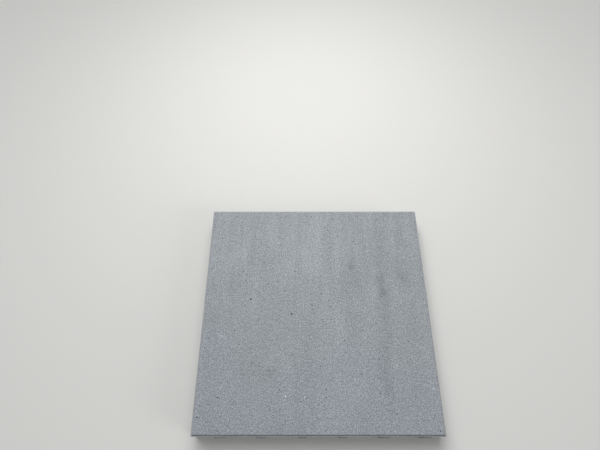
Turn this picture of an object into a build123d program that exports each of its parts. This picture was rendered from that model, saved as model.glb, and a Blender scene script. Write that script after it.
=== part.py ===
from build123d import *
import os

# A square paving slab for yards and paths, pressed from concrete as one piece.
# It lies flat, worn face up. The origin is at the centre of the underside, +Z is up,
# and each of the four sides faces along X or Y. All sizes are in millimetres.

# Body of the slab
slab_side = 800.0             # from one side face to the opposite one, without the spacer nibs
slab_thickness = 80.0         # from the underside to the worn face
corner_radius = 4.0           # upright corners, as left by the mould

# Bevel round the worn face
bevel_width = 6.0             # in plan, in from the side face
bevel_depth = 5.0             # down from the worn face
bevel_corner_radius = 1.0     # where two bevels meet at the worn face

# Spacer nibs, moulded on all four sides to hold the joint to the next slab open
nibs_per_side = 6
nib_end_distance = 71.0       # from each end of a side to the end nib, before the row is shifted
nib_projection = 4.0          # out from the side face, which is the least width of the joint
nib_root_width = 33.0         # along the side, where the nib leaves it
nib_flank_taper = 4.0         # what each flank loses in width from root to tip
nib_side_clearance = 2.0      # between the flanks of two nibs that share a joint
nib_head_depth = 18.0         # from the worn face down to the top of the nib
nib_head_slope = 9.0          # height over which the head slopes out to the full projection
nib_edge_radius = 1.2         # rounding of the tip and of the brow of the head

# Sizes that follow from the ones above
side_face = slab_side / 2
nib_tip_width = nib_root_width - 2 * nib_flank_taper
nib_root_height = slab_thickness - nib_head_depth
nib_tip_height = nib_root_height - nib_head_slope
nib_pitch = (slab_side - 2 * nib_end_distance) / (nibs_per_side - 1)

# Two slabs laid side by side share a joint with two rows of nibs, one turned half round.
# Each row is shifted along its side by half of what lets the flanks pass.
nib_row_shift = ((nib_root_width + nib_tip_width) / 2 + nib_side_clearance) / 2


def slab_body():
    """The square body: upright sides, and the bevel that runs round the worn face."""
    bevel_foot = slab_thickness - bevel_depth
    worn_side = slab_side - 2 * bevel_width
    with BuildPart() as body:
        with BuildSketch():
            RectangleRounded(slab_side, slab_side, corner_radius)
        extrude(amount=bevel_foot)
        with BuildSketch(Plane.XY.offset(bevel_foot)):
            RectangleRounded(slab_side, slab_side, corner_radius)
        with BuildSketch(Plane.XY.offset(slab_thickness)):
            RectangleRounded(worn_side, worn_side, bevel_corner_radius)
        loft(ruled=True)
    return body.part


def spacer_nib():
    """One nib at the middle of the side that faces -Y: its plan, stood up and cut to its side view."""
    tip_face = side_face + nib_projection
    with BuildPart() as nib:
        with BuildSketch() as plan:
            Polygon(
                (-nib_root_width / 2, -side_face),
                (-nib_tip_width / 2, -tip_face),
                (nib_tip_width / 2, -tip_face),
                (nib_root_width / 2, -side_face),
                align=None,
            )
            fillet(plan.vertices().sort_by(Axis.Y)[:2], nib_edge_radius)
        extrude(amount=nib_root_height)
        with BuildSketch(Plane.YZ.offset(-nib_root_width / 2)) as side_view:
            Polygon(
                (-tip_face, 0),
                (-side_face, 0),
                (-side_face, nib_root_height),
                (-tip_face, nib_tip_height),
                align=None,
            )
            brow = side_view.vertices().sort_by(Axis.Y)[:2].sort_by(Axis.Z)[-1]
            fillet(brow, nib_edge_radius)
        extrude(amount=nib_root_width, mode=Mode.INTERSECT)
    return nib.part


def paving_slab():
    """The body with the same row of nibs on each side, turned about the slab's middle."""
    nib = spacer_nib()
    with BuildPart() as slab:
        add(slab_body())
        with PolarLocations(0, 4):
            with Locations((nib_row_shift, 0)):
                with GridLocations(nib_pitch, 0, nibs_per_side, 1):
                    add(nib)
    slab.part.label = "paving_slab"
    return slab.part


os.makedirs("parts", exist_ok=True)
export_step(paving_slab(), "parts/paving_slab.step")
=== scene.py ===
import math
import random

import bmesh
import bpy
from mathutils import Euler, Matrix, Vector, kdtree, noise
from mathutils.geometry import delaunay_2d_cdt


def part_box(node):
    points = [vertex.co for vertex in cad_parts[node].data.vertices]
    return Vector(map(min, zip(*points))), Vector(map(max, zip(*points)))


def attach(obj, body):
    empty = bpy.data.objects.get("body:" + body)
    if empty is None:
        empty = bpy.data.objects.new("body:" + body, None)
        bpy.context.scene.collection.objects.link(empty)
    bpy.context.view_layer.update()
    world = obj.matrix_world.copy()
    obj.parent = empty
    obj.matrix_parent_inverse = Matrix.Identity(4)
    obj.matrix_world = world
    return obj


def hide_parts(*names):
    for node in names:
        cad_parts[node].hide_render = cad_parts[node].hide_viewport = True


# A precast concrete paving slab: blasted worn face, smooth bevel, pressed sides with
# spacer nibs, and the rough underside that it was pressed on. Everything is in metres.

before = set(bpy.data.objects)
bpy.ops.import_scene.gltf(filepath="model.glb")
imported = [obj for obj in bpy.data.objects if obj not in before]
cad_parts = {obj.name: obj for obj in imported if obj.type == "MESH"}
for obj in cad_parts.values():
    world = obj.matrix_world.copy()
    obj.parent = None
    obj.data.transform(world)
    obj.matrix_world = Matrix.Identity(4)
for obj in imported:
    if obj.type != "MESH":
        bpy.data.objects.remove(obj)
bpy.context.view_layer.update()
slab_low, slab_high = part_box("paving_slab")

MM = 0.001
UP = Vector((0, 0, 1))
QUARTER_TURN = math.pi / 2


# Sizes of the slab, as its solid has them

nib_projection = 4 * MM
slab_side = slab_high.x - slab_low.x - 2 * nib_projection
slab_thickness = slab_high.z - slab_low.z
corner_radius = 4 * MM

bevel_width = 6 * MM
bevel_depth = 5 * MM
bevel_corner_radius = 1 * MM
bevel_slope = math.hypot(bevel_width, bevel_depth)
bevel_lean = math.atan2(bevel_width, bevel_depth)     # how far it leans from upright
bevel_foot = slab_thickness - bevel_depth
worn_side = slab_side - 2 * bevel_width

nibs_per_side = 6
nib_end_distance = 71 * MM
nib_root_width = 33 * MM
nib_tip_width = nib_root_width - 2 * nib_projection   # its flanks run out at 45 degrees
nib_side_clearance = 2 * MM
nib_head_depth = 18 * MM
nib_head_slope = 9 * MM
nib_root_height = slab_thickness - nib_head_depth
nib_tip_height = nib_root_height - nib_head_slope
nib_pitch = (slab_side - 2 * nib_end_distance) / (nibs_per_side - 1)
nib_row_shift = ((nib_root_width + nib_tip_width) / 2 + nib_side_clearance) / 2

# The sides and the bevel are laid out flat as one strip. "run" goes round the slab from the
# near left corner, "rise" goes up the side and on up the bevel.
straight_run = slab_side - 2 * corner_radius
side_run = straight_run + corner_radius * QUARTER_TURN
full_run = 4 * side_run
arris_rise = bevel_foot + bevel_slope
nib_runs = [
    straight_run / 2 + nib_row_shift + (i - (nibs_per_side - 1) / 2) * nib_pitch
    for i in range(nibs_per_side)
]

# Nested outlines of a nib, as half widths and heights: its root, then both lines between which
# its rounded tip begins
nib_edge_softness = 0.9 * MM
nib_head_softness = nib_edge_softness * nib_head_slope / nib_projection
nib_outlines = (
    (nib_root_width / 2, nib_root_height),
    (nib_tip_width / 2 + nib_edge_softness, nib_tip_height + nib_head_softness),
    (nib_tip_width / 2 - nib_edge_softness, nib_tip_height - nib_head_softness),
)


# Small roundings and wear, which the solid leaves out

edge_softness = 1.0 * MM      # how far the rounding of an edge reaches along the faces beside it
bevel_foot_rounding = 0.28 * MM
arris_rounding = 0.12 * MM
rounding_width = 14 * MM      # the roundings waver within about this

# The bevel has a fine step. It falls steeply from the step's brow to its foot, and flatter from
# there. Painted shade darkens each of the step's lines by a share, and thins out at the toe.
step_brow = arris_rise - 0.9 * MM
step_foot = arris_rise - 3.7 * MM
step_middle = (step_brow + step_foot) / 2
step_toe = step_foot - 0.9 * edge_softness
step_depth = 1.15 * MM
step_depth_width = 60 * MM    # the depth wavers within about this
step_shade_shares = {step_brow: 0.55, step_middle: 1.0, step_foot: 1.0, step_toe: 0.3}
step_shade_width = 25 * MM     # and the painted shade within about this

# Relief, as layers that each waver from nothing to a depth within about a width
worn_relief = ((0.22 * MM, 90 * MM), (0.12 * MM, 6 * MM))         # long waves, and sand
side_relief = ((0.28 * MM, 4.5 * MM), (0.15 * MM, 30 * MM))       # grains torn by the mould
under_relief = ((0.5 * MM, 16 * MM), (0.3 * MM, 40 * MM))         # the board's print

# The mix ran under the mould, which left the foot of the sides ragged
ragged_foot_height = 1.8 * MM
ragged_foot_reach = ragged_foot_height * 1.5      # nothing above this is ragged
ragged_foot_relief = ((1.3 * MM, 7 * MM), (0.5 * MM, 2.5 * MM))
ragged_foot_fin = 0.7 * MM    # how far the foot stands proud at most
ragged_share_above = 0.3      # how ragged the line above the foot is, beside the foot itself

# Chips along the edges: the edge's rise, how many it has, and the least and the most reach
chips_of_edges = (
    (arris_rise, 9, 1.2 * MM, 2.6 * MM),
    (bevel_foot, 12, 1.6 * MM, 4.2 * MM),
    (0.0, 40, 2.5 * MM, 8.5 * MM),
)
chip_depth_share = 0.34       # of its reach
chip_crumb_width = 1.5 * MM   # its depth wavers within about this
chip_shade = 0.4              # how dark the painted shade in its middle is, where an air hole's is 1

# Air holes: how many each face has, and the least and the most radius
worn_pit_count = 130
worn_pit_radii = (0.8 * MM, 1.7 * MM)
side_pit_count = 420
side_pit_radii = (0.9 * MM, 3.2 * MM)
under_pit_count = 260
under_pit_radii = (1.2 * MM, 4.5 * MM)

# Those of the worn face that are large enough to tell apart: x, y and radius. The rest are
# scattered.
known_worn_pits = [
    (-234 * MM, 40 * MM, 3.6 * MM),
    (-86 * MM, -14 * MM, 3.5 * MM),
    (-15 * MM, 18 * MM, 2.7 * MM),
    (-384 * MM, -345 * MM, 2.8 * MM),
]


# How closely the points of the skin lie

edge_spacing = 3.6 * MM       # along the edges and on the sides
nib_spacing = edge_spacing * 1.5      # along a nib's outlines
worn_spacing = 5.8 * MM       # on the worn face
under_spacing = 8.5 * MM      # on the underside
corner_steps = 4

# Rows of points inside the arris, which lead to the wider spacing: how far in, and the spacing
worn_border_rows = ((edge_softness, 3.6 * MM), (3.2 * MM, 4.2 * MM), (6.2 * MM, 5.0 * MM))

# Rings of points in an air hole, from its rim in: share of its radius, of its depth, and points
pit_rings = ((1.0, 0.0, 8), (0.72, 0.7, 6), (0.0, 1.0, 1))

# Rings of points round a chip's middle: share of its reach, and points
chip_rings = ((0.35, 6), (0.7, 11), (1.0, 15))
chip_line_steps = 3           # points to each side of a chip's middle, on the line of its edge

# The least distances that keep points and air holes apart
line_gap = edge_spacing * 0.4         # from a line of the strip to a loose point
border_gap = edge_spacing * 0.5       # from a border of the sides to a loose point
tip_gap = edge_spacing * 0.6          # from the end of a nib's tip to a loose point on it
head_gap = 3 * MM             # from the head of a nib to a loose point on it
pit_gap = 2 * MM              # between the rims of two air holes, and from a rim to a line
rim_gap = 1 * MM              # from an air hole's rim to a loose point
chip_gap = 0.3 * MM           # from a chip's point to a line, or to another point on the line
chip_row_gap = 0.1 * MM       # from a chip's point to the row just inside the arris
chip_border_gap = 0.4 * MM    # from a chip's point to the border of its sheet
under_chip_border_gap = 2 * MM        # the same on the underside, whose border is ragged
weld_gap = 0.002 * MM         # points this close are one

# How far inside the border of the worn face and of the underside air holes and loose points start
worn_pit_inset = 12 * MM
worn_point_inset = 9 * MM
under_pit_inset = 10 * MM
under_point_inset = 4 * MM

ROW_SHARE = 0.866             # rows of a hexagonal lattice are this much closer than its points
LOOSENESS = 0.2               # share of the spacing by which its points stray


# Shape: the skin of the slab. Each sheet of it is made flat first. Its points are tuples of x and
# y on the flat, how far they sink into the concrete, and a share of painted shade there: in an air
# hole, a chip or the bevel's step.

def nib_height(run, rise):
    """How far a spacer nib stands out at a place: it has hipped flanks and a sloped head."""
    along = min(abs(run - middle) for middle in nib_runs)
    flank = nib_root_width / 2 - along
    head = (nib_root_height - rise) * nib_projection / nib_head_slope
    return max(0.0, min(flank, head, nib_projection))


def on_outline(run, side, radius):
    """The place at a run along one rounded side that faces -Y, and the way it faces there."""
    straight = side / 2 - radius
    turn = max(0.0, run - straight_run) / corner_radius
    facing = Vector((math.sin(turn), -math.cos(turn), 0))
    along = (min(run, straight_run) / straight_run * 2 - 1) * straight
    place = Vector((along, -straight, 0)) + facing * radius
    return place, facing


def lean_at(rise):
    """How far the strip has turned from upright: half the bevel's lean on the line of its foot,
    all of it beyond the rounding there, and level on the line of the arris."""
    past_foot = (rise - bevel_foot + edge_softness) / (2 * edge_softness)
    past_arris = (rise - arris_rise + edge_softness) / edge_softness
    lean = bevel_lean * min(1.0, max(0.0, past_foot))
    return lean + (QUARTER_TURN - bevel_lean) * min(1.0, max(0.0, past_arris))


def on_skin(run, rise, sink=0.0):
    """Brings a place on the flat strip back to the slab. A positive sink goes into the concrete."""
    quarter, run = divmod(run, side_run)
    foot, facing = on_outline(run, slab_side, corner_radius)
    arris, _ = on_outline(run, worn_side, bevel_corner_radius)
    up_bevel = max(0.0, rise - bevel_foot) / bevel_slope
    place = foot.lerp(arris, up_bevel) + UP * (min(rise, bevel_foot) + up_bevel * bevel_depth)
    lean = lean_at(rise)
    place += facing * nib_height(run, rise)
    place -= (facing * math.cos(lean) + UP * math.sin(lean)) * sink
    place.rotate(Euler((0, 0, quarter * QUARTER_TURN)))
    return place


def waver(place, width, low=0.0, high=1.0):
    """A value from low to high that wavers over the slab within about a width."""
    stretch = 0.62            # noise mostly stays within 0.8 of 0: this fills the range with it
    share = min(1.0, max(0.0, 0.5 + stretch * noise.noise(place / width)))
    return low + (high - low) * share


def relief(place, layers):
    """How deep the layers of a relief are together at a place."""
    return sum(waver(place, width, 0.0, depth) for depth, width in layers)


def edge_sink(run, rise):
    """What the edges have lost all along: the ragged foot where the mix ran under the mould, the
    roundings of the bevel's foot and of the arris, and the hollow of the step between them."""
    place = on_skin(run, rise)
    if rise < ragged_foot_reach:
        share = 1.0 if rise == 0.0 else ragged_share_above
        return (relief(place, ragged_foot_relief) - ragged_foot_fin) * share
    if rise >= step_brow:
        return arris_rounding * waver(place, rounding_width, 0.5, 1.5)
    if rise == bevel_foot:
        return bevel_foot_rounding * waver(place, rounding_width, 0.7, 1.5)
    hollow = 1 - abs(rise - step_foot) / (step_foot - bevel_foot)
    return step_depth * max(0.0, hollow) * waver(place, step_depth_width, 0.85, 1.15)


def painted_shade_in_step(run, rise):
    """Painted shade in the step: thick along the near side, thinner up the right one, and next to
    none on the other two."""
    least, on_right_side, fall = 0.12, 0.6, 0.5
    past_near_side = (run - side_run) / side_run
    share = 1.0 if past_near_side < 0 else max(least, on_right_side - fall * past_near_side)
    return step_shade_shares.get(rise, 0.0) * share * waver(on_skin(run, rise), step_shade_width, 0.7, 1.0)


def side_stations():
    """Runs along one side at which the edges have a point, with one at each line of a nib."""
    steps = round(straight_run / edge_spacing)
    stations = [straight_run * i / steps for i in range(steps)]
    nib_lines = []
    for middle in nib_runs:
        for half, _ in nib_outlines:
            nib_lines += [middle - half, middle + half]
    stations = [s for s in stations if min(abs(s - line) for line in nib_lines) > line_gap]
    arc = side_run - straight_run
    corner = [straight_run + arc * i / corner_steps for i in range(corner_steps)]
    return sorted(stations + nib_lines + corner)


def edge_chips(draw):
    """Where the edges have lost a crumb of concrete: run and rise of its middle, and how far the
    break reaches. Most are small."""
    chips = []
    for rise, count, least, most in chips_of_edges:
        for _ in range(count):
            reach = least + (most - least) * draw.random() ** 2
            chips.append((draw.uniform(2 * most, full_run - 2 * most), rise, reach))
    return chips


def line_runs(stations, chips, rise):
    """Runs of the points on one line round the slab, closer where a chip has broken it."""
    around = [s + quarter * side_run for quarter in range(4) for s in stations]
    extra = []
    for run, chip_rise, reach in chips:
        if chip_rise == rise:
            steps = range(-chip_line_steps, chip_line_steps + 1)
            extra += [run + reach * i / chip_line_steps for i in steps]
    extra = [run for run in extra if min(abs(run - other) for other in around) > chip_gap]
    extra.sort()
    kept = [run for run, before in zip(extra, [-1.0] + extra) if run - before > chip_gap]
    return sorted(around + kept)


def chip_points(chips, rise, place_of, inside):
    """Closer points round the middle of each chip of one edge, on the sheet that place_of leads to."""
    points = []
    for run, chip_rise, reach in chips:
        if chip_rise != rise:
            continue
        middle_x, middle_y = place_of(run)
        for share, corners in chip_rings:
            for i in range(corners):
                angle = math.tau * (i + share) / corners
                x = middle_x + reach * share * math.cos(angle)
                y = middle_y + reach * share * math.sin(angle)
                if inside(x, y):
                    points.append((x, y, 0.0, 0.0))
    return points


def lattice(low, high, spacing, draw, keep):
    """Loosely hexagonal points that fill a rectangle, where keep allows them."""
    points = []
    rows = int((high[1] - low[1]) / (spacing * ROW_SHARE))
    for row in range(rows + 1):
        across = low[0] + spacing * (0.25 if row % 2 else 0.75)
        while across < high[0]:
            x = across + draw.uniform(-LOOSENESS, LOOSENESS) * spacing
            y = low[1] + row * spacing * ROW_SHARE + draw.uniform(-LOOSENESS, LOOSENESS) * spacing
            if keep(x, y):
                points.append((x, y, 0.0, 0.0))
            across += spacing
    return points


def scatter_pits(pits, count, low, high, radii, draw, keep):
    """Adds places for air holes in a rectangle: mostly small ones, apart from each other."""
    pits = list(pits)
    while len(pits) < count:
        radius = radii[0] + (radii[1] - radii[0]) * draw.random() ** 3
        x, y = draw.uniform(low[0], high[0]), draw.uniform(low[1], high[1])
        apart = all(math.hypot(x - p[0], y - p[1]) > radius + p[2] + pit_gap for p in pits)
        if apart and keep(x, y, radius):
            pits.append((x, y, radius))
    return pits


def pit_points(pits, draw):
    """Rings of points that sink into a bowl for each air hole, a little out of round, with a share
    of painted shade that grows towards the bottom.
    """
    points = []
    for x, y, radius in pits:
        depth = radius * draw.uniform(0.7, 1.1)
        turn = draw.uniform(0, math.tau)
        squash = draw.uniform(0.7, 1.0)
        for share, sink, corners in pit_rings:
            for i in range(corners):
                angle = turn + math.tau * i / corners
                reach = radius * share * draw.uniform(0.88, 1.1)
                points.append((
                    x + reach * math.cos(angle),
                    y + reach * math.sin(angle) * squash,
                    depth * sink,
                    sink,
                ))
    return points


def clear_of_pits(pits):
    """A test for whether a place is outside every air hole's rim."""
    tree = kdtree.KDTree(len(pits))
    for i, (x, y, _) in enumerate(pits):
        tree.insert((x, y, 0), i)
    tree.balance()
    widest = max(radius for _, _, radius in pits)

    def test(x, y):
        near = tree.find_range((x, y, 0), widest + rim_gap)
        return all(distance > pits[i][2] + rim_gap for _, i, distance in near)

    return test


def triangles(points, edges, outline=None):
    """Delaunay triangles over flat points that keep the given edges, inside the outline if one
    is given and inside the points' hull otherwise."""
    flat = [Vector(p[:2]) for p in points]
    outlines = [outline] if outline else []
    inside_outline = 1 if outline else 0
    same_place = 1e-8
    verts, _, tris, origins, _, _ = delaunay_2d_cdt(
        flat, edges, outlines, inside_outline, same_place,
    )
    assert len(verts) == len(points), "two points of the skin fell together"
    order = [origin[0] for origin in origins]
    return [[order[i] for i in tri] for tri in tris]


def nib_outline_points():
    """The nested outlines of every nib on the strip, with the edges that join their points."""
    points, edges = [], []
    for quarter in range(4):
        for middle in nib_runs:
            run = middle + quarter * side_run
            for half, top in nib_outlines:
                first = len(points)
                upright = round(top / nib_spacing)
                head = round(2 * half / nib_spacing)
                points += [(run - half, top * i / upright) for i in range(1, upright + 1)]
                points += [(run - half + 2 * half * i / head, top) for i in range(1, head)]
                points += [(run + half, top * i / upright) for i in range(upright, 0, -1)]
                edges += [(i, i + 1) for i in range(first, len(points) - 1)]
    return [(run, rise, 0.0, 0.0) for run, rise in points], edges


def past_nib_middle(run):
    """How far a run is from the middle of the nearest nib."""
    return min(abs(run % side_run - middle) for middle in nib_runs)


def near_nib(run, rise, gap):
    """Whether a place on the strip is on a nib or within a gap of it."""
    return past_nib_middle(run) < nib_root_width / 2 + gap and rise < nib_root_height + gap


def near_nib_line(run, rise):
    """Whether a place is too close to a line of a nib's outlines for a point of its own."""
    if not near_nib(run, rise, line_gap):
        return False
    along = past_nib_middle(run)
    beside = min(abs(along - half) for half, _ in nib_outlines) < line_gap
    return beside or rise > nib_tip_height - head_gap or along > nib_tip_width / 2 - tip_gap


def side_and_bevel_strip(stations, chips, draw):
    """Points and triangles of the four sides with their nibs, and of the bevel above them."""
    low, high = (0, 0), (full_run, bevel_foot - edge_softness)

    def pit_allowed(run, rise, radius):
        margin = radius + pit_gap
        corner = run % side_run > straight_run - margin or run % side_run < margin
        inside = margin < rise < high[1] - margin
        return inside and not corner and not near_nib(run, rise, margin)

    pits = scatter_pits([], side_pit_count, low, high, side_pit_radii, draw, pit_allowed)
    clear = clear_of_pits(pits)

    def point_allowed(run, rise):
        inside = ragged_foot_height + line_gap < rise < high[1] - border_gap
        between_ends = border_gap < run < full_run - border_gap
        return inside and between_ends and clear(run, rise) and not near_nib_line(run, rise)

    points, edges = nib_outline_points()
    lines = (
        0.0, ragged_foot_height,
        bevel_foot - edge_softness, bevel_foot, bevel_foot + edge_softness,
        step_toe, step_foot, step_middle, step_brow,
        arris_rise,
    )
    for rise in lines:
        first = len(points)
        around = line_runs(stations, chips, rise) + [full_run]
        points += [(run, rise, edge_sink(run, rise), painted_shade_in_step(run, rise)) for run in around]
        edges += [(i, i + 1) for i in range(first, len(points) - 1)]
    end_steps = round(bevel_foot / edge_spacing)
    for i in range(1, end_steps):
        rise = bevel_foot * i / end_steps
        points += [(0.0, rise, 0.0, 0.0), (full_run, rise, 0.0, 0.0)]
    highest = arris_rise - edge_softness
    for edge_rise, _, _, _ in reversed(chips_of_edges):
        broken = chip_points(
            chips, edge_rise,
            lambda run: (run, edge_rise),
            lambda run, rise: chip_border_gap < rise < highest and abs(rise - edge_rise) > chip_gap,
        )
        points += [(run, rise, edge_sink(run, rise), 0.0) for run, rise, _, _ in broken]
    points += pit_points(pits, draw)
    points += lattice(low, high, edge_spacing, draw, point_allowed)
    return points, triangles(points, edges)


def inset(x, y, side):
    """How far a place is inside the border of a square about the slab's middle."""
    return side / 2 - max(abs(x), abs(y))


def worn_face_sheet(stations, chips, draw):
    """Points and triangles of the worn face, edged by the top of the bevel."""
    around = line_runs(stations, chips, arris_rise)
    places = [on_skin(run, arris_rise) for run in around]
    points = [(p.x, p.y, edge_sink(run, arris_rise), 0.0) for p, run in zip(places, around)]
    rim = list(range(len(points)))
    half = worn_side / 2
    low, high = (-half, -half), (half, half)
    pits = scatter_pits(
        known_worn_pits, worn_pit_count, low, high, worn_pit_radii, draw,
        lambda x, y, radius: inset(x, y, worn_side) > worn_pit_inset,
    )
    clear = clear_of_pits(pits)
    for depth, spacing in worn_border_rows:
        row = half - depth
        steps = round(2 * row / spacing)
        for i in range(steps):
            along = row * (2 * i / steps - 1)
            for x, y in ((along, -row), (row, along), (-along, row), (-row, -along)):
                points.append((x, y, 0.0, 0.0))

    def chip_point_allowed(x, y):
        from_arris = inset(x, y, worn_side)
        return from_arris > chip_border_gap and abs(from_arris - edge_softness) > chip_row_gap

    points += chip_points(
        chips, arris_rise, lambda run: on_skin(run, arris_rise).xy, chip_point_allowed,
    )
    points += pit_points(pits, draw)
    points += lattice(
        low, high, worn_spacing, draw,
        lambda x, y: inset(x, y, worn_side) > worn_point_inset and clear(x, y),
    )
    return points, triangles(points, [], rim)


def underside_sheet(stations, chips, draw):
    """Points and triangles of the underside, edged by the foot of the sides and nibs."""
    around = line_runs(stations, chips, 0.0)
    places = [on_skin(run, 0.0, edge_sink(run, 0.0)) for run in around]
    points = [(p.x, p.y, 0.0, 0.0) for p in places]
    rim = list(range(len(points)))
    half = slab_side / 2
    low, high = (-half, -half), (half, half)
    pits = scatter_pits(
        [], under_pit_count, low, high, under_pit_radii, draw,
        lambda x, y, radius: inset(x, y, slab_side) > under_pit_inset,
    )
    clear = clear_of_pits(pits)
    points += pit_points(pits, draw)
    points += chip_points(
        chips, 0.0,
        lambda run: on_skin(run, 0.0).xy,
        lambda x, y: inset(x, y, slab_side) > under_chip_border_gap,
    )
    points += lattice(
        low, high, under_spacing, draw,
        lambda x, y: inset(x, y, slab_side) > under_point_inset and clear(x, y),
    )
    return points, triangles(points, [], rim)


SIDES, BEVEL, WORN_FACE, UNDERSIDE = range(4)


def slab_skin():
    """One closed mesh of the whole slab, with a material index and a share of painted shade on
    its parts.
    """
    draw = random.Random(41)
    stations = side_stations()
    chips = edge_chips(draw)
    skin = bmesh.new()
    painted_shade_layer = skin.verts.layers.float.new("painted_hollow_shade")

    def add_sheet(points, tris, place, finish, flip=False):
        verts = []
        for x, y, sink, painted_hollow_shade in points:
            vert = skin.verts.new(place(x, y, sink))
            vert[painted_shade_layer] = painted_hollow_shade
            verts.append(vert)
        for tri in tris:
            corners = [verts[i] for i in (reversed(tri) if flip else tri)]
            face = skin.faces.new(corners)
            face.material_index = finish(tri, points)
            face.smooth = True

    def strip_finish(tri, points):
        middle = sum(points[i][1] for i in tri) / 3
        return BEVEL if middle > bevel_foot else SIDES

    points, tris = side_and_bevel_strip(stations, chips, draw)
    add_sheet(points, tris, on_skin, strip_finish)
    points, tris = worn_face_sheet(stations, chips, draw)
    add_sheet(
        points, tris,
        lambda x, y, sink: Vector((x, y, slab_thickness - sink)),
        lambda tri, points: WORN_FACE,
    )
    points, tris = underside_sheet(stations, chips, draw)
    add_sheet(
        points, tris,
        lambda x, y, sink: Vector((x, y, sink)),
        lambda tri, points: UNDERSIDE,
        flip=True,
    )
    bmesh.ops.remove_doubles(skin, verts=skin.verts, dist=weld_gap)
    open_edges = [e for e in skin.edges if len(e.link_faces) != 2]
    assert not open_edges, "the slab's skin is not closed"
    roughen(skin)
    break_chips(skin, chips, painted_shade_layer)
    return skin


def roughen(skin):
    """Takes a little off everywhere, by the relief of each face, so that none is dead flat."""
    level = 0.9               # a normal this upright belongs to a level face
    skin.normal_update()
    for vert in skin.verts:
        if vert.normal.z > level:
            layers = worn_relief
        elif vert.normal.z < -level:
            layers = under_relief
        else:
            layers = side_relief
        vert.co -= vert.normal * relief(vert.co, layers)


def break_chips(skin, chips, painted_shade_layer):
    """Scoops each chip out of its edge, along the line that halves the edge's angle, and paints
    shade into it.
    """
    tree = kdtree.KDTree(len(skin.verts))
    skin.verts.ensure_lookup_table()
    for vert in skin.verts:
        tree.insert(vert.co, vert.index)
    tree.balance()
    edge_leans = {
        0.0: -QUARTER_TURN / 2,
        bevel_foot: bevel_lean / 2,
        arris_rise: (bevel_lean + QUARTER_TURN) / 2,
    }
    for run, rise, reach in chips:
        middle = on_skin(run, rise)
        quarter, along = divmod(run, side_run)
        _, facing = on_outline(along, slab_side, corner_radius)
        facing.rotate(Euler((0, 0, quarter * QUARTER_TURN)))
        lean = edge_leans[rise]
        inward = -(facing * math.cos(lean) + UP * math.sin(lean))
        for place, index, distance in tree.find_range(middle, reach):
            share = 1 - (distance / reach) ** 2
            vert = skin.verts[index]
            depth = reach * chip_depth_share * share * waver(place, chip_crumb_width, 0.7, 1.3)
            vert.co += inward * depth
            # painted shade in the chip, darkest at its middle
            vert[painted_shade_layer] = max(vert[painted_shade_layer], chip_shade * share)


def make_slab(finishes):
    """The slab as one piece, in place of the plain solid."""
    sharpest_smooth_angle = 28
    skin = slab_skin()
    mesh = bpy.data.meshes.new("paving_slab_skin")
    skin.to_mesh(mesh)
    skin.free()
    for index in sorted(finishes):
        mesh.materials.append(finishes[index])
    mesh.set_sharp_from_angle(angle=math.radians(sharpest_smooth_angle))
    slab = bpy.data.objects.new("paving_slab_skin", mesh)
    bpy.context.scene.collection.objects.link(slab)
    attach(slab, "root")
    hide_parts("paving_slab")


# Finishes

CONCRETE_IOR = 1.5

# Sockets of a Mix node for colours go by number, because other kinds of mix share their names
MIX_SHARE, MIX_FIRST, MIX_SECOND, MIX_COLOUR = 0, 6, 7, 2


def linear(hex_colour):
    """Linear colour of an sRGB hex value."""
    shares = [int(hex_colour[i:i + 2], 16) / 255 for i in (1, 3, 5)]
    return [s / 12.92 if s <= 0.04045 else ((s + 0.055) / 1.055) ** 2.4 for s in shares] + [1.0]


def new_material(name):
    """An empty material."""
    material = bpy.data.materials.new(name)
    material.use_nodes = True
    material.node_tree.nodes.clear()
    return material


def node(material, kind, inputs=None, take=0, stops=None, **settings):
    """Adds a node, sets it, links or sets its inputs, and returns one of its outputs."""
    tree = material.node_tree
    made = tree.nodes.new("ShaderNode" + kind)
    for name, value in settings.items():
        setattr(made, name, value)
    for socket, value in (inputs or {}).items():
        if isinstance(value, bpy.types.NodeSocket):
            tree.links.new(value, made.inputs[socket])
        else:
            made.inputs[socket].default_value = value
    if stops:
        ramp = made.color_ramp
        while len(ramp.elements) < len(stops):
            ramp.elements.new(1.0)
        for element, (at, colour) in zip(ramp.elements, stops):
            element.position = at
            element.color = linear(colour)
    return made.outputs[take] if made.outputs else made


def strayed(m, place, width, reach):
    """The place, shifted by up to about a quarter of a reach in ways that change within a width."""
    wander = node(m, "TexNoise", {"Vector": place, "Scale": 1 / width, "Detail": 3.0}, take=1)
    shift = node(m, "VectorMath", {0: wander, 1: (0.5, 0.5, 0.5)}, operation="SUBTRACT")
    shift = node(m, "VectorMath", {0: shift, "Scale": reach}, operation="SCALE")
    return node(m, "VectorMath", {0: place, 1: shift}, operation="ADD")


def sand(m, place, grain_width, stops):
    """Grains of about a width and out of round, each in a colour between the stops."""
    out_of_round = 2.2 * grain_width
    bent = strayed(m, place, grain_width, out_of_round)
    grains = node(m, "TexVoronoi", {"Vector": bent, "Scale": 1 / grain_width}, take="Color")
    pick = node(m, "SeparateColor", {0: grains})
    return node(m, "ValToRGB", {"Fac": pick}, stops=stops)


def dots(m, place, spacing, border, inside, outside):
    """A tone with a round dot in each cell of a spacing, from its inner border to its outer one."""
    reach = node(
        m, "TexVoronoi", {"Vector": place, "Scale": 1 / spacing},
        take="Distance", voronoi_dimensions="2D",
    )
    return node(m, "MapRange", {
        "Value": reach, "From Min": border[0], "From Max": border[1],
        "To Min": inside, "To Max": outside,
    })


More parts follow.
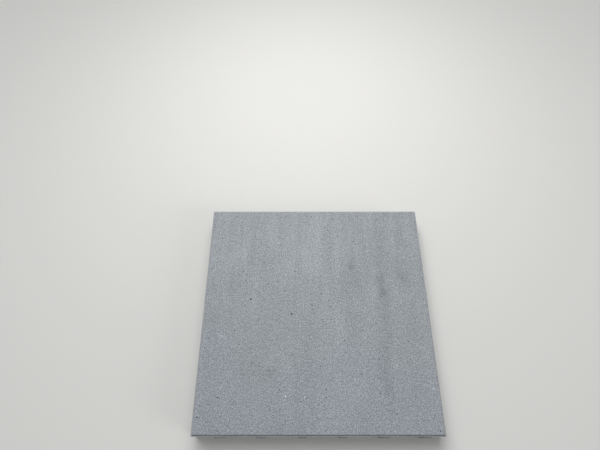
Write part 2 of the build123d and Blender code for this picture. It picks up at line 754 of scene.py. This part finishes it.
def spots(m, place, spacing, share, radius, soft, ragged=1.6):
    """A mask of spots: one in the given share of the cells of a spacing, with about a radius and
    a soft border, which is the more torn the higher ragged is. Most are small."""
    bent = strayed(m, place, 2 * radius, ragged * radius)
    cells = node(m, "TexVoronoi", {"Vector": bent, "Scale": 1 / spacing}, take="Color")
    reach = node(m, "TexVoronoi", {"Vector": bent, "Scale": 1 / spacing}, take="Distance")
    pick = node(m, "SeparateColor", {0: cells}, take="Green")
    chosen = node(m, "Math", {0: pick, 1: share}, operation="LESS_THAN")
    favour_small = 2.5
    size = node(m, "SeparateColor", {0: cells}, take="Blue")
    size = node(m, "Math", {0: size, 1: favour_small}, operation="POWER")
    least, growth = 0.4 * radius / spacing, 0.9 * radius / spacing
    full = node(m, "Math", {0: size, 1: growth, 2: least}, operation="MULTIPLY_ADD")
    inside = node(m, "Math", {0: full, 1: reach}, operation="SUBTRACT")
    spot = node(m, "MapRange", {"Value": inside, "From Min": 0.0, "From Max": soft / spacing})
    return node(m, "Math", {0: spot, 1: chosen}, operation="MULTIPLY")


def drifting_tone(m, place, drifts):
    """A tone near 1 that drifts over the concrete, by noises that each have a width along X, Y
    and Z, and a strength."""
    tone = None
    for widths, strength in drifts:
        spread = node(m, "VectorMath", {0: place, 1: [1 / w for w in widths]}, operation="MULTIPLY")
        drift = node(m, "TexNoise", {
            "Vector": spread, "Scale": 1.0, "Detail": 3.0, "Roughness": 0.55,
        })
        change = node(m, "MapRange", {
            "Value": drift, "From Min": 0.25, "From Max": 0.75,
            "To Min": 1 - strength, "To Max": 1 + strength,
        })
        if tone is not None:
            change = node(m, "Math", {0: tone, 1: change}, operation="MULTIPLY")
        tone = change
    return tone


def stained(m, colour, stains):
    """The colour with stains laid on it, each where its mask is and in its hex colour."""
    for mask, stain in stains:
        colour = node(m, "Mix", {
            MIX_SHARE: mask, MIX_FIRST: colour, MIX_SECOND: linear(stain),
        }, take=MIX_COLOUR, data_type="RGBA")
    return colour


def dull_surface(m, colour, height, roughness, strength, depth):
    """Gives the material concrete's dull surface, with a fine relief of up to a depth."""
    bump = node(m, "Bump", {"Height": height, "Strength": strength, "Distance": depth})
    shader = node(m, "BsdfPrincipled", {
        "Base Color": colour, "Roughness": roughness, "IOR": CONCRETE_IOR, "Normal": bump,
    })
    node(m, "OutputMaterial", {"Surface": shader})


# Where the worn face has darkened or bleached most, mainly in streaks that run front to back: x
# and y of the middle, half width, half length, and how much darker. A negative one is paler.
worn_marks = (
    (243 * MM, 64 * MM, 17 * MM, 21 * MM, 0.16),
    (243 * MM, 80 * MM, 34 * MM, 60 * MM, 0.05),
    (240 * MM, 112 * MM, 20 * MM, 30 * MM, 0.08),
    (314 * MM, 135 * MM, 26 * MM, 70 * MM, 0.13),
    (136 * MM, 168 * MM, 22 * MM, 21 * MM, 0.17),
    (134 * MM, 125 * MM, 32 * MM, 66 * MM, 0.07),
    (320 * MM, 285 * MM, 32 * MM, 64 * MM, 0.10),
    (236 * MM, -240 * MM, 20 * MM, 75 * MM, 0.06),
    (233 * MM, -215 * MM, 12 * MM, 12 * MM, 0.08),
    (240 * MM, -266 * MM, 16 * MM, 22 * MM, 0.06),
    (285 * MM, 385 * MM, 75 * MM, 34 * MM, 0.09),
    (247 * MM, 300 * MM, 26 * MM, 80 * MM, 0.07),
    (238 * MM, -10 * MM, 27 * MM, 430 * MM, 0.06),
    (141 * MM, 366 * MM, 24 * MM, 32 * MM, 0.07),
    (-160 * MM, -214 * MM, 56 * MM, 30 * MM, 0.07),
    (-345 * MM, 95 * MM, 50 * MM, 50 * MM, 0.07),
    (-241 * MM, 192 * MM, 17 * MM, 50 * MM, 0.06),
    (-241 * MM, 350 * MM, 20 * MM, 45 * MM, 0.05),
    (134 * MM, -60 * MM, 16 * MM, 110 * MM, 0.05),
    (-8 * MM, 205 * MM, 50 * MM, 125 * MM, -0.09),
    (-102 * MM, 200 * MM, 44 * MM, 115 * MM, -0.09),
    (-166 * MM, 262 * MM, 40 * MM, 50 * MM, -0.06),
    (92 * MM, 240 * MM, 28 * MM, 110 * MM, -0.07),
    (-282 * MM, 215 * MM, 36 * MM, 52 * MM, -0.07),
    (85 * MM, -70 * MM, 34 * MM, 120 * MM, -0.06),
    (5 * MM, 345 * MM, 34 * MM, 90 * MM, -0.06),
    (116 * MM, -275 * MM, 60 * MM, 80 * MM, -0.05),
    (0 * MM, 10 * MM, 80 * MM, 110 * MM, -0.04),
    (180 * MM, -70 * MM, 50 * MM, 150 * MM, -0.03),
    (390 * MM, -180 * MM, 60 * MM, 260 * MM, -0.04),
    (-170 * MM, -400 * MM, 260 * MM, 50 * MM, 0.04),
)

# Where the worn face has stayed damp farther from the near side: middle, half width, half length
damp_patches = (
    (-350 * MM, -100 * MM, 60 * MM, 150 * MM),
    (115 * MM, -175 * MM, 110 * MM, 110 * MM),
    (330 * MM, -270 * MM, 110 * MM, 80 * MM),
)

# Pale chips of stone laid bare by the blasting: middle, half width, half length
bare_chips = (
    (-104 * MM, -283 * MM, 1.1 * MM, 4.2 * MM),
    (-42 * MM, -286 * MM, 1.6 * MM, 1.8 * MM),
    (266 * MM, -187 * MM, 1.6 * MM, 2.2 * MM),
)


def reach_from(m, place, x, y, half_width, half_length):
    """How far a place on the worn face is from a spot there, 1 being the spot's border."""
    offset = node(m, "VectorMath", {0: place, 1: (x, y, slab_thickness)}, operation="SUBTRACT")
    shares = (1 / half_width, 1 / half_length, 0)
    offset = node(m, "VectorMath", {0: offset, 1: shares}, operation="MULTIPLY")
    return node(m, "VectorMath", {0: offset}, take="Value", operation="LENGTH")


def marked_tone(m, place, tone):
    """The tone with each worn mark laid on it, with wandering borders."""
    faded_out = 1.35          # where a mark ends, 1 being its border
    bent = strayed(m, place, 45 * MM, 60 * MM)
    for x, y, half_width, half_length, darkening in worn_marks:
        reach = reach_from(m, bent, x, y, half_width, half_length)
        mark = node(m, "MapRange", {
            "Value": reach, "From Min": 0.0, "From Max": faded_out,
            "To Min": 1 - darkening, "To Max": 1.0,
        }, interpolation_type="SMOOTHSTEP")
        tone = node(m, "Math", {0: tone, 1: mark}, operation="MULTIPLY")
    return tone


def damp_cast(m, place):
    """A faint cast over the worn face: cooler where it has stayed damp, mostly nearest the front."""
    cloud_width = 130 * MM
    drying_per_metre = 1.6    # how much drier it gets towards the back
    cloud = node(m, "TexNoise", {"Vector": place, "Scale": 1 / cloud_width, "Detail": 4.0})
    from_front = node(m, "SeparateXYZ", {0: place}, take="Y")
    dryness = node(m, "Math", {
        0: from_front, 1: drying_per_metre, 2: cloud,
    }, operation="MULTIPLY_ADD")
    bent = strayed(m, place, 60 * MM, 70 * MM)
    for x, y, half_width, half_length in damp_patches:
        reach = reach_from(m, bent, x, y, half_width, half_length)
        drying = node(m, "MapRange", {
            "Value": reach, "From Min": 0.4, "From Max": 1.3, "To Min": 0.26, "To Max": 0.0,
        })
        dryness = node(m, "Math", {0: dryness, 1: drying}, operation="SUBTRACT")
    return node(m, "ValToRGB", {"Fac": dryness}, stops=((0.06, "#FDFEFF"), (0.22, "#FEFEFC")))


def bare_stone(m, place):
    """A mask of each bare chip of pale stone."""
    bent = strayed(m, place, 2 * MM, 1.5 * MM)
    masks = []
    for x, y, half_width, half_length in bare_chips:
        reach = reach_from(m, bent, x, y, half_width, half_length)
        masks.append(node(m, "MapRange", {
            "Value": reach, "From Min": 0.8, "From Max": 1.1, "To Min": 1.0, "To Max": 0.0,
        }))
    return masks


def blasted_concrete():
    """Precast concrete with its face blasted: the cement skin is gone and fine sand shows as an
    even, dull, cool grey speckle, clouded in streaks along the way the mould was filled."""
    m = new_material("blasted_concrete")
    place = node(m, "TexCoord", take="Object")
    painted_hollow_shade = node(m, "Attribute", take="Fac", attribute_name="painted_hollow_shade")
    grain_width = 1.2 * MM      # real sand is 0.2 to 2 mm: drawn at its coarse end so that it shows
    coarse_spacing = 5.8 * MM   # between the larger grains, which the blasting has laid bare and paler
    hollow_spacing = 6.4 * MM   # between the small hollows that it left among them, drawn as painted shade
    streak_width = 24 * MM
    streak_length = 300 * MM
    streaks_start = -120 * MM   # near the front the streaks are faint, and farther back they are full
    streaks_full = 120 * MM

    colour = sand(m, place, grain_width, (
        (0.00, "#666B70"),
        (0.12, "#81868C"),
        (0.30, "#8D9298"),
        (0.70, "#94999F"),
        (0.88, "#A3A7AB"),
        (1.00, "#B9BBBD"),
    ))
    bent = strayed(m, place, 3 * MM, 2 * MM)
    coarse_grains = dots(m, bent, coarse_spacing, border=(0.10, 0.40), inside=1.25, outside=0.970)
    # The hollows are only painted shade: dark dots in the colour
    hollows = dots(m, bent, hollow_spacing, border=(0.08, 0.32), inside=0.62, outside=1.036)
    tone = node(m, "Math", {0: coarse_grains, 1: hollows}, operation="MULTIPLY")
    colour = node(m, "VectorMath", {0: colour, "Scale": tone}, operation="SCALE")
    colour = node(m, "VectorMath", {0: colour, 1: damp_cast(m, place)}, operation="MULTIPLY")
    dark_flecks = spots(m, place, spacing=12 * MM, share=0.19, radius=2.5 * MM, soft=0.3 * MM)
    pale_flecks = spots(m, place, spacing=13 * MM, share=0.11, radius=2.1 * MM, soft=0.4 * MM)
    colour = stained(m, colour, ((dark_flecks, "#2C2E30"), (pale_flecks, "#DADCDA")))

    tone = drifting_tone(m, place, (
        ((44 * MM, 420 * MM, 420 * MM), 0.028),
        ((90 * MM, 120 * MM, 100 * MM), 0.036),
    ))
    streaks = drifting_tone(m, place, (
        ((streak_width, streak_length, streak_length), 0.068),
    ))
    from_front = node(m, "SeparateXYZ", {0: place}, take="Y")
    fullness = node(m, "MapRange", {
        "Value": from_front, "From Min": streaks_start, "From Max": streaks_full,
        "To Min": 0.2, "To Max": 1.0,
    })
    streaks = node(m, "Math", {0: streaks, 1: fullness}, operation="POWER")
    tone = node(m, "Math", {0: tone, 1: streaks}, operation="MULTIPLY")
    tone = marked_tone(m, place, tone)
    colour = node(m, "VectorMath", {0: colour, "Scale": tone}, operation="SCALE")
    colour = stained(m, colour, [(mask, "#E6E6E2") for mask in bare_stone(m, place)])
    # Painted shade in the air holes and chips, darkest at their bottoms
    colour = stained(m, colour, ((painted_hollow_shade, "#2E3030"),))

    height = node(m, "TexNoise", {"Vector": place, "Scale": 1 / grain_width, "Detail": 2.0})
    dull_surface(m, colour, height, roughness=0.78, strength=0.5, depth=0.5 * MM)
    return m


def cement_skin_concrete():
    """The bevel: formed by the stamp and out of reach of the blasting, so the smoother cement skin
    is still on it, closed and paler than the face, with a few pinholes, and painted shade in the fine
    step."""
    m = new_material("cement_skin_concrete")
    place = node(m, "TexCoord", take="Object")
    painted_hollow_shade = node(m, "Attribute", take="Fac", attribute_name="painted_hollow_shade")
    grain_width = 0.9 * MM      # fine sand under the skin, drawn at its coarse end too
    shade_breakup_width = 2.5 * MM      # of the painted shade in the step
    ripple_width = 1.6 * MM     # of the skin's relief

    colour = sand(m, place, grain_width, (
        (0.00, "#8B8D90"),
        (0.25, "#9EA1A5"),
        (0.80, "#A8ABAF"),
        (1.00, "#BDBFC2"),
    ))
    tone = drifting_tone(m, place, (
        ((70 * MM, 70 * MM, 70 * MM), 0.08),
        ((7 * MM, 7 * MM, 7 * MM), 0.08),
    ))
    colour = node(m, "VectorMath", {0: colour, "Scale": tone}, operation="SCALE")
    # Painted shade in the pinholes, which also sink into the relief below
    pinholes = spots(m, place, spacing=7 * MM, share=0.25, radius=0.9 * MM, soft=0.3 * MM)
    # Painted shade in the step and in chips, broken up so that it doesn't run as a flat band
    shade_breakup = node(m, "TexNoise", {
        "Vector": place, "Scale": 1 / shade_breakup_width, "Detail": 5.0, "Roughness": 0.7,
    })
    shade_strength = node(m, "MapRange", {
        "Value": shade_breakup, "From Min": 0.36, "From Max": 0.56, "To Min": 0.72, "To Max": 1.0,
    })
    painted_bevel_shade = node(m, "Math", {0: painted_hollow_shade, 1: shade_strength}, operation="MULTIPLY")
    colour = stained(m, colour, ((pinholes, "#4B4E50"), (painted_bevel_shade, "#1F2327")))

    ripple = node(m, "TexNoise", {"Vector": place, "Scale": 1 / ripple_width, "Detail": 4.0})
    height = node(m, "Math", {0: ripple, 1: pinholes}, operation="SUBTRACT")
    dull_surface(m, colour, height, roughness=0.66, strength=0.5, depth=0.4 * MM)
    return m


def mould_pressed_concrete():
    """Sides and nibs: earth-damp concrete pressed against steel and stripped upward, which leaves
    fine upright drag marks, pores between the grains and a dull, dusty grey."""
    m = new_material("mould_pressed_concrete")
    place = node(m, "TexCoord", take="Object")
    painted_hollow_shade = node(m, "Attribute", take="Fac", attribute_name="painted_hollow_shade")
    grain_width = 1.1 * MM
    lump_width = 3.5 * MM       # of grains that stuck together
    drag_width = 2 * MM         # real drag marks are under 1 mm wide: drawn wider so that they show
    drag_length = 50 * MM
    drag_share = 0.35           # of the relief, beside the lumps

    colour = sand(m, place, grain_width, (
        (0.00, "#74777A"),
        (0.15, "#828688"),
        (0.50, "#8B8F91"),
        (0.90, "#939799"),
        (1.00, "#A6A9A9"),
    ))
    tone = drifting_tone(m, place, (
        ((2.2 * MM, 2.2 * MM, 60 * MM), 0.06),
        ((4 * MM, 4 * MM, 5 * MM), 0.10),
        ((14 * MM, 14 * MM, 22 * MM), 0.07),
        ((70 * MM, 70 * MM, 45 * MM), 0.08),
    ))
    colour = node(m, "VectorMath", {0: colour, "Scale": tone}, operation="SCALE")
    # Painted shade in the pores, which also sink into the relief below
    pores = spots(m, place, spacing=6 * MM, share=0.35, radius=1.7 * MM, soft=0.6 * MM, ragged=4.5)
    # Painted shade in the air holes and chips, darkest at their bottoms
    colour = stained(m, colour, ((pores, "#5C5F60"), (painted_hollow_shade, "#4A4D4D")))

    drag = node(m, "VectorMath", {
        0: place, 1: (1 / drag_width, 1 / drag_width, 1 / drag_length),
    }, operation="MULTIPLY")
    drag_marks = node(m, "TexNoise", {"Vector": drag, "Scale": 1.0, "Detail": 3.0})
    lumps = node(m, "TexNoise", {
        "Vector": place, "Scale": 1 / lump_width, "Detail": 6.0, "Roughness": 0.68,
    })
    height = node(m, "Math", {0: drag_marks, 1: drag_share, 2: lumps}, operation="MULTIPLY_ADD")
    height = node(m, "Math", {0: height, 1: pores}, operation="SUBTRACT")
    dull_surface(m, colour, height, roughness=0.9, strength=0.8, depth=1.3 * MM)
    return m


def board_pressed_concrete():
    """Underside: the coarse mix pressed on a timber board, which leaves an open, gritty face with
    the faint print of the board's grain and clouds of lime bloom."""
    m = new_material("board_pressed_concrete")
    place = node(m, "TexCoord", take="Object")
    painted_hollow_shade = node(m, "Attribute", take="Fac", attribute_name="painted_hollow_shade")
    grain_width = 1.6 * MM
    grit_width = 5 * MM
    board_grain_width = 4 * MM
    board_grain_length = 180 * MM
    board_grain_depth = 50 * MM
    print_share = 0.5           # of the relief, beside the grit

    colour = sand(m, place, grain_width, (
        (0.00, "#6E7071"),
        (0.20, "#7E8182"),
        (0.80, "#8C8F8F"),
        (1.00, "#A0A2A0"),
    ))
    tone = drifting_tone(m, place, (
        ((220 * MM, 5 * MM, 50 * MM), 0.07),
        ((130 * MM, 130 * MM, 130 * MM), 0.14),
        ((12 * MM, 12 * MM, 12 * MM), 0.10),
        ((5 * MM, 5 * MM, 5 * MM), 0.10),
    ))
    colour = node(m, "VectorMath", {0: colour, "Scale": tone}, operation="SCALE")
    # Painted shade in the pores, which also sink into the relief below
    pores = spots(m, place, spacing=7 * MM, share=0.45, radius=2.4 * MM, soft=0.8 * MM, ragged=4.5)
    # Painted shade in the air holes and chips, darkest at their bottoms
    colour = stained(m, colour, ((pores, "#565859"), (painted_hollow_shade, "#444646")))

    board = node(m, "VectorMath", {
        0: place, 1: (1 / board_grain_length, 1 / board_grain_width, 1 / board_grain_depth),
    }, operation="MULTIPLY")
    board_print = node(m, "TexNoise", {"Vector": board, "Scale": 1.0, "Detail": 3.0})
    grit = node(m, "TexNoise", {
        "Vector": place, "Scale": 1 / grit_width, "Detail": 6.0, "Roughness": 0.68,
    })
    height = node(m, "Math", {0: board_print, 1: print_share, 2: grit}, operation="MULTIPLY_ADD")
    height = node(m, "Math", {0: height, 1: pores}, operation="SUBTRACT")
    dull_surface(m, colour, height, roughness=0.92, strength=0.9, depth=1.6 * MM)
    return m


# Studio. Each level is what a source adds on level ground, where 1 shows a colour as it is written.

sky_level = 0.32
sun_level = 0.35
fill_level = 0.07
sky_colour = (0.96, 0.98, 1.0, 1.0)
floor_colour = "#D9D8D5"
floor_reach = 40.0

# The camera, as the slab's outline in the photo places it
camera_place = (-0.0575, -0.3952, 1.5315)
camera_dip = 63.235           # degrees down from level
camera_lens = 25              # in millimetres, on a sensor of the width below
camera_sensor_width = 36


def make_floor():
    """A plain pale floor that keeps the slab's shadow."""
    m = new_material("pale_floor")
    shader = node(m, "BsdfPrincipled", {
        "Base Color": linear(floor_colour), "Roughness": 0.95, "Specular IOR Level": 0.0,
    })
    node(m, "OutputMaterial", {"Surface": shader})
    mesh = bpy.data.meshes.new("floor")
    corners = [(x * floor_reach, y * floor_reach, 0) for x, y in ((-1, -1), (1, -1), (1, 1), (-1, 1))]
    mesh.from_pydata(corners, [], [(0, 1, 2, 3)])
    mesh.materials.append(m)
    floor = bpy.data.objects.new("floor", mesh)
    bpy.context.scene.collection.objects.link(floor)


def make_lamp(name, kind, place, **settings):
    """A lamp that faces the slab from its place, and isn't seen itself."""
    lamp = bpy.data.lights.new(name, kind)
    for setting, value in settings.items():
        setattr(lamp, setting, value)
    holder = bpy.data.objects.new(name, lamp)
    holder.location = place
    holder.rotation_euler = (-Vector(place)).to_track_quat("-Z", "Y").to_euler()
    holder.visible_camera = False
    bpy.context.scene.collection.objects.link(holder)


def make_sun(name, place, level, width):
    """A far, soft light of a level and a width in degrees, from the way of its place."""
    height_share = Vector(place).normalized().z
    make_lamp(name, "SUN", place, energy=level * math.pi / height_share, angle=math.radians(width))


def make_sky():
    """An even sky. Seen directly or in a reflection it is as pale as the lit floor, so that no
    horizon shows."""
    world = bpy.data.worlds.new("sky")
    bpy.context.scene.world = world
    world.use_nodes = True
    world.node_tree.nodes.clear()
    ray = node(world, "LightPath", take="Is Camera Ray")
    glossy = node(world, "LightPath", take="Is Glossy Ray")
    through = node(world, "LightPath", take="Is Transmission Ray")
    seen = node(world, "Math", {0: ray, 1: glossy}, operation="MAXIMUM")
    seen = node(world, "Math", {0: seen, 1: through}, operation="MAXIMUM")
    light = node(world, "Background", {"Color": sky_colour, "Strength": sky_level})
    backdrop = node(world, "Background", {
        "Color": linear(floor_colour), "Strength": sky_level + sun_level + fill_level,
    })
    surface = node(world, "MixShader", {0: seen, 1: light, 2: backdrop})
    node(world, "OutputWorld", {"Surface": surface})


def make_light():
    """An open sky with its bright part behind the slab, a low fill that grazes the near and right
    sides, and a softbox that lifts the far edge."""
    make_sky()
    make_sun("bright_sky", (-1.35, 3.0, 4.5), sun_level, width=50)
    make_sun("low_fill", (3.0, -1.3, 1.1), fill_level, width=25)
    make_lamp("softbox_behind", "AREA", (-0.05, 1.3, 1.5), shape="SQUARE", size=1.0, energy=15)


def make_camera():
    """A phone held over the near edge of the slab, at eye height and looking steeply down."""
    camera = bpy.data.cameras.new("camera")
    camera.lens = camera_lens
    camera.sensor_width = camera_sensor_width
    holder = bpy.data.objects.new("camera", camera)
    holder.location = camera_place
    holder.rotation_euler = (math.radians(90 - camera_dip), 0, 0)
    bpy.context.scene.collection.objects.link(holder)
    bpy.context.scene.camera = holder


make_camera()
make_slab({
    SIDES: mould_pressed_concrete(),
    BEVEL: cement_skin_concrete(),
    WORN_FACE: blasted_concrete(),
    UNDERSIDE: board_pressed_concrete(),
})
make_floor()
make_light()
bpy.context.scene.view_settings.view_transform = "Standard"
